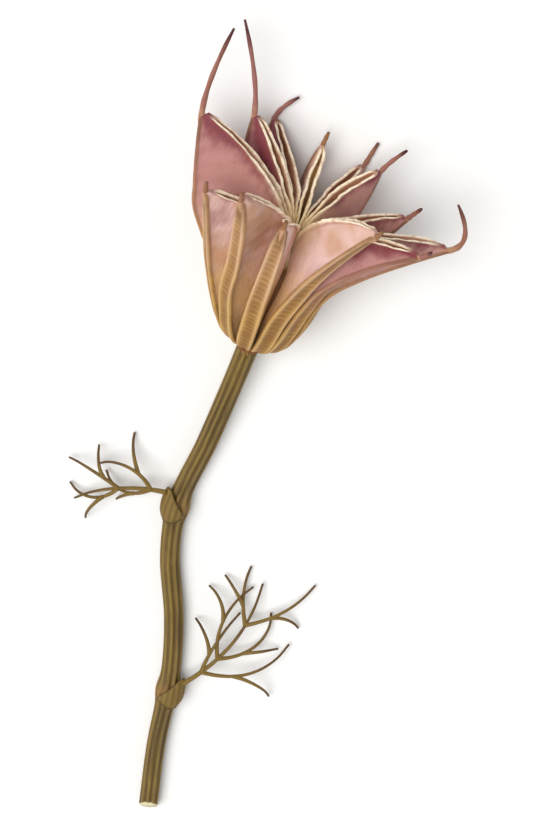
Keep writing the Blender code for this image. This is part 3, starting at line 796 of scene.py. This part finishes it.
def stem_surface(line):
    """A ribbed rod: radius times one plus a cosine of the turn, sharpened into narrow ribs.

    The ribs wind slowly and fade at the joints, and the underside is flat where it lies.
    """
    distance = np.linspace(0, line.length, STEM_ROWS)
    turn = full_turn(STEM_COLUMNS)
    ahead, side, up = line.directions(distance)
    d = distance[:, None]
    wave = np.cos(STEM_RIBS * turn + 0.25 * np.sin(d * 0.11))
    ridge = np.sign(wave) * np.abs(wave) ** 0.75
    uneven = 0.018 * np.sin(3 * turn + d * 0.21) + 0.012 * np.sin(5 * turn - d * 0.34)
    joint = sum(np.exp(-((d - j) / 1.5) ** 2) for j in JOINTS)
    reach = line.radius(distance)[:, None] * (1 + RIB_HEIGHT * ridge * (1 - 0.35 * joint) + uneven)
    ring = side[:, None] * np.cos(turn)[..., None] + up[:, None] * np.sin(turn)[..., None]
    points = line.point(distance)[:, None] + ring * reach[..., None]
    cut = smooth(line.length - 2.5, line.length, d) * -1.3 * np.sin(turn)
    points = points + ahead[:, None] * cut[..., None]
    points[..., 2] = np.maximum(points[..., 2], 0.0)
    attributes = {"rib": 0.5 + 0.5 * ridge, "joint": np.clip(joint, 0, 1),
                  "cut": 1.0 * (d > line.length - 0.05)}
    grain = np.stack([d + 0 * turn, reach * np.cos(turn), reach * np.sin(turn)], axis=-1)
    return points, attributes, grain


def thread(line, start, heading, length, turn, rise, root=THREAD_ROOT):
    """A curled thread's line: the heading turns by a power of the distance, and it arches."""
    share = (np.arange(THREAD_STEPS) + 0.5) / THREAD_STEPS
    done = (np.arange(THREAD_STEPS) + 1) / THREAD_STEPS
    angle = heading + turn * share ** 1.3
    step = length / THREAD_STEPS
    flat = start[:2] + np.cumsum(np.column_stack([np.cos(angle), np.sin(angle)]) * step, axis=0)
    level = root + (start[2] - root) * (1 - done) ** 2 + rise * np.sin(math.pi * 0.94 * done)
    points = line.push_clear(np.column_stack([flat, level]), THREAD_CLEAR)
    return np.vstack([start, points])


def leaf_threads(line, start, heading, length, pairs, rng, curl):
    """A stalk with paired side threads, each forked once, as (points, root radius)."""
    stalk = thread(line, start, heading, length, curl, rng.uniform(1.5, 3.0), STALK_ROOT)
    found = [(stalk, STALK_ROOT)]
    for n in range(pairs):
        at = stalk[min(1 + n * (THREAD_STEPS - 1) // pairs, THREAD_STEPS - 1)]
        for side in (-1, 1):
            aim = heading + curl * (n / pairs) + side * math.radians(rng.uniform(35, 60))
            span = length * rng.uniform(0.45, 0.75) * (1 - 0.25 * n / pairs)
            turn = -side * math.radians(rng.uniform(30, 110))
            branch = thread(line, at, aim, span, turn, rng.uniform(0.5, 4.0))
            found.append((branch, THREAD_ROOT))
            fork = branch[2 + rng.randrange(2)]
            aim += turn * 0.4 + side * math.radians(rng.uniform(20, 45))
            found.append((thread(line, fork, aim, span * rng.uniform(0.4, 0.6),
                                 side * math.radians(rng.uniform(20, 90)),
                                 rng.uniform(0.5, 3.0)), THREAD_ROOT))
    return found


def sheath_surface(line, distance, facing):
    """A thin curved plate that clasps the stem: an arc's two faces, carried along the stem.

    The arc narrows with a power of the distance towards the leaf stalk, its edges thin out, and
    fine ribs, a cosine of the angle, run along it.
    """
    share = np.linspace(0, 1, 40)
    place = distance - SHEATH_LENGTH * share
    ahead, side, up = line.directions(place)
    spread = SHEATH_HALF_ANGLE * (1 - 0.86 * share ** 1.1)
    first = np.maximum(facing - spread, -SHEATH_LOW_ANGLE)[:, None]
    last = np.minimum(facing + spread, math.pi + SHEATH_LOW_ANGLE)[:, None]
    u = np.linspace(0, 1, 34)[None, :]
    angle = first + (last - first) * u
    middle = np.sin(math.pi * u) ** 0.6
    inner = (line.radius(place) * (1 + RIB_HEIGHT) + GAP * 0.7 + 0.5 * share ** 2)[:, None]
    thick = 0.14 + 0.46 * middle * smooth(-0.1, 0.25, share)[:, None]
    thick = thick + 0.05 * np.cos(angle * SHEATH_RIBS) * middle
    around = np.hstack([u, u[:, ::-1]])
    angle = np.hstack([angle, angle[:, ::-1]])
    reach = np.hstack([inner + 0 * u, (inner + thick)[:, ::-1]])
    ring = side[:, None] * np.cos(angle)[..., None] + up[:, None] * np.sin(angle)[..., None]
    points = line.point(place)[:, None] + ring * reach[..., None]
    slant = 1.3 * (0.5 - 0.5 * np.cos(2 * math.pi * around)) * (1 - share[:, None]) ** 2
    points = points + ahead[:, None] * slant[..., None]
    margin = np.maximum(1 - smooth(0.0, 0.16, np.sin(math.pi * around)),
                        1 - smooth(0.0, 0.12, share)[:, None])
    # The brown share also fills the valleys between the fine ribs.
    margin = np.maximum(margin, 0.6 * (0.5 - 0.5 * np.cos(angle * SHEATH_RIBS)) ** 2)
    grain = np.stack([share[:, None] * SHEATH_LENGTH + 0 * angle, reach * np.cos(angle),
                      reach * np.sin(angle)], axis=-1)
    return points, {"along": share[:, None] * 0.2, "margin": margin}, grain


def keel_colour(f, pod, high, blotch, fibre, mottle):
    """Gold, blushed higher up, with pale ribs, a brown channel and tired brown tops."""
    along, wine = f.attribute("along"), f.attribute("wine")
    gold = f.mix(blotch.ramp(0.40, 0.66), pod.husk, pod.husk_deep)
    gold = f.mix(high * 0.40, gold, pod.blush)
    pale = f.mix(high * 0.40, pod.rib, pod.lilac)
    band = f.mix(f.attribute("rib") * (0.55 + 0.5 * fibre), gold, pale)
    band = f.mix(f.attribute("channel") * (0.95 - high * 0.35), band, pod.channel)
    band = f.mix(high * wine.ramp(0.35, 0.85) * 0.75, band, pod.awn)
    tired = (along + (blotch - 0.5) * 0.5).ramp(0.55, 0.95) * (0.30 + 0.45 * mottle)
    return f.mix(tired, band, pod.groove)


def wall_colour(f, pod, high, blotch, vein, fibre, mottle):
    """Tan low down, then blush to lilac, with mauve and wine red in patches towards the lips."""
    along, across, wine = f.attribute("along"), f.attribute("across"), f.attribute("wine")
    patch = f.noise(125, 2)
    plain = f.mix(vein.ramp(0.40, 0.75) * 0.36, pod.wall, pod.husk_deep)
    clear = f.mix(patch.ramp(0.38, 0.62), pod.blush, pod.lilac)
    side = f.mix(high, plain, clear)
    dusky = (wine * 1.4 + (vein - 0.5) * 0.5 + (patch - 0.5) * 1.3 - 0.40).ramp(0.0, 0.70)
    side = f.mix(dusky * high, side, pod.mauve)
    red = wine * 1.25 + (patch - 0.5) * 1.5 + (vein - 0.5) * 0.25 + (blotch - 0.5) * 0.9
    red = red + (0.36 - across) * 0.7 + (along - 0.74) * 1.2
    red = (red - 0.70).ramp(0.0, 0.60)
    side = f.mix(red * (along + (blotch - 0.5) * 0.25).ramp(0.42, 0.66), side, pod.wine)
    side = f.mix(fibre.ramp(0.50, 0.78) * 0.09, side, pod.husk_deep)
    # Painted shade in brown under the lips and beside the keels.
    return f.mix(f.attribute("seam") * (0.35 + 0.5 * mottle), side, pod.seam)


def husk_finish(pod):
    """Papery husk: gold ribbed keels, lilac to wine walls, cream lips, painted shade in the grooves."""
    f = Finish("husk")
    blotch, mottle, speck = f.noise(210, 3), f.noise(620, 3), f.noise(1500, 4)
    vein = f.noise(1.0, 3, f.grain((0.22, 1.7, 1.0)))
    fibre = f.noise(1.0, 4, f.grain((0.5, 5.0, 1.0)))
    centre = f.attribute("centre")
    high = (f.attribute("along") + (blotch - 0.5) * 0.30).ramp(0.26, 0.60)
    body = f.mix(f.attribute("keel"), wall_colour(f, pod, high, blotch, vein, fibre, mottle),
                 keel_colour(f, pod, high, blotch, fibre, mottle))
    pouch = f.mix(f.attribute("wine").ramp(0.0, 0.4), pod.rib, pod.inside)
    body = f.mix(f.attribute("inside") * 0.9, body, pouch)
    # Painted shade: dark brown on the walls low in the grooves between the keels.
    body = f.mix(f.attribute("groove") * (0.68 + 0.4 * blotch), body, pod.groove)
    cream = f.mix((vein * 0.4 + mottle * 0.6).ramp(0.46, 0.62) * 0.62, pod.lip, pod.blush)
    cream = f.mix(centre, cream, pod.heart)
    body = f.mix(centre * 0.35, body, pod.heart)
    body = f.mix(f.attribute("lip"), body, cream)
    height = fibre * 0.25 + speck * 0.35 + vein * 0.7 + mottle * 0.5
    return f.done(body, 0.46 + 0.24 * blotch, f.bump(height, 0.6, 0.00022))


def heart_finish(pod):
    """The middle of the pod: pale cream at the heart, and painted shade in dark brown lower down, where
    it sits deep between the follicles.
    """
    f = Finish("heart")
    high = (f.attribute("along") + (f.noise(500, 3) - 0.5) * 0.12).ramp(0.84, 0.95)
    # Painted shade: dark brown on the lower part, deep between the follicles.
    body = f.mix(high, pod.groove, pod.heart)
    speck = f.noise(1700, 4)
    body = f.mix(speck.ramp(0.5, 0.8) * 0.35, body, pod.husk_deep)
    return f.done(body, 0.6 + 0.1 * speck, f.bump(speck, 0.4, 0.00015))


def awn_finish(pod):
    """Dry beaks: the husk's colours at the root, then mauve brown, nearly black at the end."""
    f = Finish("awn")
    along, wine = f.attribute("along"), f.attribute("wine")
    speck = f.noise(900, 3)
    fibre = f.noise(1.0, 4, f.grain((0.5, 7.0, 7.0)))
    root = f.mix(fibre.ramp(0.4, 0.7), pod.blush, pod.husk)
    middle = f.mix(fibre.ramp(0.42, 0.70) * 0.6, pod.awn, pod.mauve)
    middle = f.mix(0.75 - wine * 0.75, middle, pod.husk_deep)
    body = f.mix((along + (speck - 0.5) * 0.3).ramp(0.05, 0.38), root, middle)
    dark = (along + (speck - 0.5) * 0.25).ramp(0.70, 1.02) * (0.30 + 0.70 * wine.ramp(0.4, 0.7))
    body = f.mix(dark, body, pod.awn_end)
    return f.done(body, 0.5 + 0.15 * speck, f.bump(fibre, 0.5, 0.00014))


def rust_finish(stem):
    """The scar disc: rusty brown, dark and crumbly at its edge."""
    f = Finish("rust")
    speck = f.noise(1300, 4)
    edge = f.attribute("along")
    body = f.mix((edge + (speck - 0.5) * 0.8).ramp(0.35, 0.9), stem.rust, stem.rust_dark)
    return f.done(body, 0.62 + 0.15 * speck, f.bump(speck, 0.6, 0.0003))


def straw_finish(stem):
    """The stem: straw ribs, olive valleys, dark streaks, browner joints, pale pith."""
    f = Finish("straw")
    rib, joint, cut = f.attribute("rib"), f.attribute("joint"), f.attribute("cut")
    long_streak = f.noise(1.0, 4, f.grain((0.06, 1.3, 1.3)))
    fibre = f.noise(1.0, 5, f.grain((0.35, 6.0, 6.0)))
    blotch = f.noise(140, 4)
    tone = rib * 0.45 + 0.28 + (fibre - 0.5) * 0.8 + (blotch - 0.5) * 0.7
    body = f.mix(tone.ramp(0.20, 0.80), stem.olive, stem.straw)
    body = f.mix((long_streak + (fibre - 0.5) * 0.5).ramp(0.50, 0.70) * 0.75, body, stem.streak)
    body = f.mix(joint * 0.40, body, stem.rust)
    body = f.mix(blotch.ramp(0.55, 0.8) * 0.45, body, stem.leaf_dark)
    body = f.mix(cut, body, stem.pith)
    height = fibre * 0.8 + rib * 0.2 + blotch * 0.4
    return f.done(body, 0.42 + 0.2 * blotch, f.bump(height, 0.55, 0.00025))


def leaf_finish(stem):
    """Dry threads: olive brown, darker towards their ends; a brown margin round the foot and brown in
    the valleys between its ribs.
    """
    f = Finish("dry_leaf")
    along, margin = f.attribute("along"), f.attribute("margin")
    blotch = f.noise(260, 3)
    body = f.mix((along + (blotch - 0.5) * 0.9).ramp(0.25, 1.0), stem.leaf, stem.leaf_dark)
    fibre = f.noise(1.0, 4, f.grain((0.4, 5.0, 5.0)))
    body = f.mix(fibre.ramp(0.45, 0.7) * 0.6, body, stem.straw)
    body = f.mix(margin * 0.8, body, stem.streak)
    return f.done(body, 0.55 + 0.2 * blotch, f.bump(fibre, 0.5, 0.0002))


class NIGELLA_OT_follicles(bpy.types.Operator):
    """Make the flat follicles that form the pod"""
    bl_idname = "nigella.follicles"
    bl_label = "Follicles"

    def execute(self, context):
        pod = context.scene.nigella_pod
        material = husk_finish(pod)
        for number in range(len(FOLLICLES)):
            surface = FollicleSkin(Follicle(number), pod).surface()
            settle(skin(f"follicle_{number + 1:02d}", material, *surface), "pod")
        return {"FINISHED"}


class NIGELLA_OT_heart(bpy.types.Operator):
    """Make the solid middle that the follicles are grown to"""
    bl_idname = "nigella.heart"
    bl_label = "Heart of the pod"

    def execute(self, context):
        share = np.linspace(0, 1, 60)
        profile = spline(CORE, share)
        count, turn = len(FOLLICLES), full_turn(104)
        radius = profile[:, :1] * (1 + 0.03 * np.cos(count * turn + 0.6))
        height = profile[:, 1:] + 0.3 * np.cos(count * turn) * smooth(0.75, 0.95, share)[:, None]
        piece = skin("heart", heart_finish(context.scene.nigella_pod),
                     round_the_axis(radius, height, turn), {"along": share[:, None]})
        settle(piece, "pod")
        return {"FINISHED"}


class NIGELLA_OT_awns(bpy.types.Operator):
    """Make the long beaks at the follicles' tips"""
    bl_idname = "nigella.awns"
    bl_label = "Awns"

    def execute(self, context):
        material = awn_finish(context.scene.nigella_pod)
        turn, made = full_turn(AWN_COLUMNS), []
        for number in range(len(FOLLICLES)):
            follicle = Follicle(number)
            path = to_world(awn_path(follicle))
            share = np.linspace(0, 1, len(path))
            wobble = 1 + 0.08 * np.sin(share * 23 + number)
            in_plane, across = (spline(row, share) * wobble for row in (AWN_IN_PLANE, AWN_ACROSS))
            path[:, 2] = np.maximum(path[:, 2], in_plane)
            points = tube(path, np.column_stack([in_plane, across]), AWN_COLUMNS, follicle.across())
            made.append(skin("awn", material, points,
                             {"along": share[:, None], "wine": follicle.wine},
                             round_grain(share * 15, turn, number)))
        settle(join("awns", made), "pod")
        return {"FINISHED"}


class NIGELLA_OT_receptacle(bpy.types.Operator):
    """Make the lobed scar disc under the pod, grown to the pod and to the stem by short necks"""
    bl_idname = "nigella.receptacle"
    bl_label = "Receptacle"

    def execute(self, context):
        profile = LOW_NECK + tuple(zip(DISC_RADII, DISC_HEIGHTS)) + HIGH_NECK
        share = np.linspace(0, 1, 72)
        outline, turn = spline(profile, share), full_turn(132)
        lobes = 0.05 * np.cos(len(FOLLICLES) * turn) + 0.02 * np.sin(31 * turn + 7 * share[:, None])
        radius = outline[:, :1] * (1 + lobes * smooth(1.0, 2.2, outline[:, :1]))
        piece = skin("scar_disc", rust_finish(context.scene.nigella_stem),
                     round_the_axis(radius, outline[:, 1:], turn), {"along": smooth(1.9, 2.6, radius)})
        settle(piece, "receptacle")
        return {"FINISHED"}


class NIGELLA_OT_stem(bpy.types.Operator):
    """Make the ribbed stem with its joints and cut end"""
    bl_idname = "nigella.stem"
    bl_label = "Stem"

    def execute(self, context):
        material = straw_finish(context.scene.nigella_stem)
        settle(skin("ribbed_stem", material, *stem_surface(StemLine())), "stem")
        return {"FINISHED"}


class NIGELLA_OT_leaves(bpy.types.Operator):
    """Make the two dried thread leaves"""
    bl_idname = "nigella.leaves"
    bl_label = "Thread leaves"

    def execute(self, context):
        stem = context.scene.nigella_stem
        material = leaf_finish(stem)
        line = StemLine()
        for node, joint, facing, heading, length, pairs, curl, seed in LEAVES:
            facing, heading, curl = (math.radians(a) for a in (facing, heading, curl))
            foot = joint + FOOT_OVER
            made = [skin("sheath", material, *sheath_surface(line, foot, facing))]
            start = stalk_start(line, foot - SHEATH_LENGTH, facing)
            threads = leaf_threads(line, start, heading, length, pairs, random.Random(seed), curl)
            for number, (path, root) in enumerate(threads):
                made.append(thread_piece(path, root, stem.thread_tip, number, material))
            settle(join(node + "_threads", made), node)
        return {"FINISHED"}


def stalk_start(line, place, facing):
    """Where the leaf stalk leaves the foot's narrow end."""
    ahead, side, up = (d[0] for d in line.directions(place))
    reach = line.radius(place)[0] * (1 + RIB_HEIGHT) + GAP + 0.5 + SHEATH_THICKNESS / 2
    return line.point(place)[0] + (side * math.cos(facing) + up * math.sin(facing)) * reach + ahead * 0.8


def thread_piece(path, root, tip, number, material):
    """One thread as a slim tapering tube on a smooth curve through its points."""
    share = np.linspace(0, 1, 30)
    curve = spline(path, share)
    radii = root + (tip - root) * share ** 0.8
    curve[:, 2] = np.maximum(curve[:, 2], radii)
    return skin("thread", material, tube(curve, radii, THREAD_COLUMNS),
                {"along": share[:, None], "margin": 0.0},
                round_grain(share * 12, full_turn(THREAD_COLUMNS), number))


class NIGELLA_OT_stage(bpy.types.Operator):
    """Make the pale floor, the soft lights and the camera"""
    bl_idname = "nigella.stage"
    bl_label = "Floor, lights and camera"

    def execute(self, context):
        stage = context.scene.nigella_stage
        make_floor(stage)
        make_sun(stage)
        make_background(context.scene, stage)
        context.scene.view_settings.view_transform = "Standard"
        make_camera(stage)
        return {"FINISHED"}


def make_floor(stage):
    """A wide plain sheet at the height that the part lies on."""
    f = Finish("pale_floor")
    tone = f.noise(9, 2)
    body = f.mix(tone * 0.06, stage.floor, FLOOR_SHADE)
    material = f.done(body, 0.6 + 0.05 * tone, f.bump(f.noise(900, 2), 0.05, 0.0001))
    corners = [(x * FLOOR_HALF, y * FLOOR_HALF, 0) for x, y in ((-1, -1), (1, -1), (1, 1), (-1, 1))]
    mesh = bpy.data.meshes.new("floor")
    mesh.from_pydata(corners, [], [(0, 1, 2, 3)])
    mesh.materials.append(material)
    floor = bpy.data.objects.new("floor", mesh)
    bpy.context.scene.collection.objects.link(floor)


def make_sun(stage):
    """A wide soft sun from the upper left, the same all over the floor."""
    light = bpy.data.lights.new("sun", "SUN")
    light.energy = stage.sun
    light.angle = stage.sun_softness
    lamp = bpy.data.objects.new("sun", light)
    bpy.context.scene.collection.objects.link(lamp)
    lamp.rotation_euler = Vector(SUN_DIRECTION).to_track_quat("-Z", "Y").to_euler()


def make_background(scene, stage):
    """White all round, and dimmer overhead so that forms keep their shading."""
    world = bpy.data.worlds.new("studio")
    world.use_nodes = True
    nodes, links = world.node_tree.nodes, world.node_tree.links
    place, parts = nodes.new("ShaderNodeTexCoord"), nodes.new("ShaderNodeSeparateXYZ")
    strength = nodes.new("ShaderNodeMapRange")
    for name, value in (("From Min", HORIZON_TOP), ("From Max", ZENITH_START),
                        ("To Min", stage.horizon), ("To Max", stage.zenith)):
        strength.inputs[name].default_value = value
    links.new(place.outputs["Generated"], parts.inputs["Vector"])
    links.new(parts.outputs["Z"], strength.inputs["Value"])
    links.new(strength.outputs["Result"], nodes["Background"].inputs["Strength"])
    nodes["Background"].inputs["Color"].default_value = (1.0, 1.0, 1.0, 1.0)
    scene.world = world


def make_camera(stage):
    """Looks down on the part from over the pod's open side, with the pod at the top.

    The camera slides and backs away in a few steps until the part fills the frame's middle.
    """
    points = np.vstack([[v.co for v in item.data.vertices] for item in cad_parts.values()])
    back = np.array((0.0, math.cos(stage.elevation), math.sin(stage.elevation)))
    up = np.array((0.0, math.sin(stage.elevation), -math.cos(stage.elevation)))
    right = np.cross(up, back)
    data = bpy.data.cameras.new("camera")
    data.lens = stage.lens
    camera = bpy.data.objects.new("camera", data)
    bpy.context.scene.collection.objects.link(camera)
    fill = stage.margin * data.sensor_width / stage.lens
    place = points.mean(axis=0) + back
    for _ in range(CAMERA_STEPS):
        depth = (place - points) @ back
        seen = (points - place) @ np.stack([right, up]).T / depth[:, None]
        low, high = seen.min(axis=0), seen.max(axis=0)
        distance = depth.mean()
        place = place + np.stack([right, up]).T @ (low + high) / 2 * distance
        place = place + back * distance * ((high - low)[1] / fill - 1)
    turn = Matrix((right, up, back)).transposed().to_4x4()
    camera.matrix_world = Matrix.Translation(Vector(place)) @ turn
    data.clip_start = 0.01
    bpy.context.scene.camera = camera


MAKERS = (NIGELLA_OT_follicles, NIGELLA_OT_heart, NIGELLA_OT_awns, NIGELLA_OT_receptacle,
          NIGELLA_OT_stem, NIGELLA_OT_leaves, NIGELLA_OT_stage)
SETTINGS = {"nigella_pod": PodSettings, "nigella_stem": StemSettings, "nigella_stage": StageSettings}


class NIGELLA_PT_panel(bpy.types.Panel):
    """Lists the makers and their sizes and colours"""
    bl_idname = "NIGELLA_PT_panel"
    bl_label = "Nigella seed pod"
    bl_space_type = "VIEW_3D"
    bl_region_type = "UI"
    bl_category = "Nigella"

    def draw(self, context):
        for maker in MAKERS:
            self.layout.operator(maker.bl_idname)
        for name, group in SETTINGS.items():
            box = self.layout.box()
            for key in group.__annotations__:
                box.prop(getattr(context.scene, name), key)


CLASSES = tuple(SETTINGS.values()) + MAKERS + (NIGELLA_PT_panel,)


def register():
    """Make the settings, the operators and the panel known to Blender."""
    for item in CLASSES:
        bpy.utils.register_class(item)
    for name, group in SETTINGS.items():
        setattr(bpy.types.Scene, name, PointerProperty(type=group))


def unregister():
    """Take them away again."""
    for name in SETTINGS:
        delattr(bpy.types.Scene, name)
    for item in reversed(CLASSES):
        bpy.utils.unregister_class(item)


def main():
    """Make every piece and the stage."""
    register()
    for maker in MAKERS:
        getattr(bpy.ops.nigella, maker.bl_idname.split(".")[1])()


if __name__ == "__main__":
    main()
